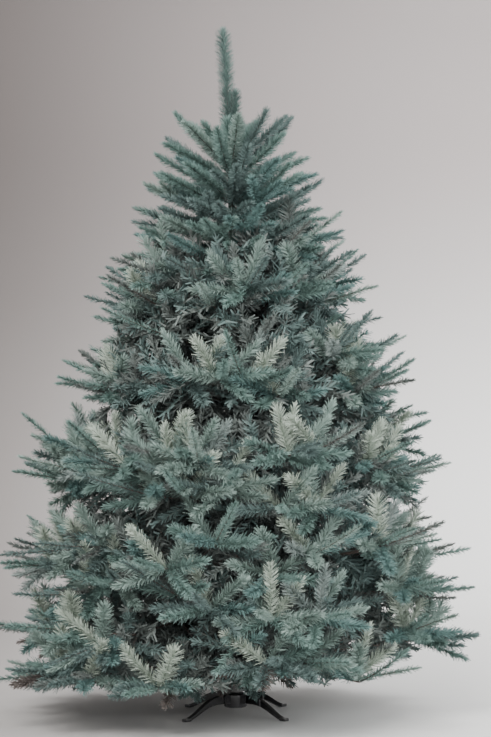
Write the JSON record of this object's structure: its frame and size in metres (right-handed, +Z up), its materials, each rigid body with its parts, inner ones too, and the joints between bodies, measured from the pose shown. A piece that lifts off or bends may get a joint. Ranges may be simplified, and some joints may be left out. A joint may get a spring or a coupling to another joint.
{
  "type": "artificial christmas tree",
  "caption": "Artificial fir on a low folding stand with arched legs: a sectioned pole carries tiers of wired boughs with flat needle sprays and ends in a leaning leader.",
  "frame": {"origin": "on the floor, under the pole's axis and midway between the feet", "axes": "+Z up along the pole, the front faces -Y, +X to the right seen from the front"},
  "size_m": [1.3999, 1.4082, 2.0494],
  "materials": {
    "needles": "matte grey-green needles with a bluish cast, paler on the upturned tips",
    "wrapped_wire": "brown wound paper and film over steel wire, matte",
    "pole_paint": "dark green paint, satin",
    "stand_paint": "black paint, glossy on the upper edges",
    "screw_grip": "black moulded grips"
  },
  "bodies": {
    "root": {"bough_1a": "wrapped_wire", "bough_1b": "wrapped_wire", "bough_1c": "wrapped_wire", "bough_1d": "wrapped_wire", "bough_1e": "wrapped_wire", "bough_2a": "wrapped_wire", "bough_2b": "wrapped_wire", "bough_2c": "wrapped_wire", "bough_2d": "wrapped_wire", "bough_2e": "wrapped_wire", "bough_3a": "wrapped_wire", "bough_3b": "wrapped_wire", "bough_3c": "wrapped_wire", "bough_3d": "wrapped_wire", "bough_4a": "wrapped_wire", "bough_4b": "wrapped_wire", "bough_4c": "wrapped_wire", "bough_4d": "wrapped_wire", "bough_5a": "wrapped_wire", "bough_5b": "wrapped_wire", "bough_5c": "wrapped_wire", "bough_5d": "wrapped_wire", "foliage_1a": "needles", "foliage_1b": "needles", "foliage_1c": "needles", "foliage_1d": "needles", "foliage_1e": "needles", "foliage_2a": "needles", "foliage_2b": "needles", "foliage_2c": "needles", "foliage_2d": "needles", "foliage_2e": "needles", "foliage_3a": "needles", "foliage_3b": "needles", "foliage_3c": "needles", "foliage_3d": "needles", "foliage_4a": "needles", "foliage_4b": "needles", "foliage_4c": "needles", "foliage_4d": "needles", "foliage_5a": "needles", "foliage_5b": "needles", "foliage_5c": "needles", "foliage_5d": "needles", "foliage_6a": "needles", "foliage_6b": "needles", "foliage_6c": "needles", "foliage_7a": "needles", "foliage_7b": "needles", "foliage_7c": "needles", "foliage_leader": "needles", "stand_hub": "stand_paint", "stand_leg_back_left": "stand_paint", "stand_leg_back_right": "stand_paint", "stand_leg_front_left": "stand_paint", "stand_leg_front_right": "stand_paint", "stand_screw_1": "screw_grip", "stand_screw_2": "screw_grip", "stand_screw_3": "screw_grip", "trunk": "pole_paint"}
  },
  "joints": []
}
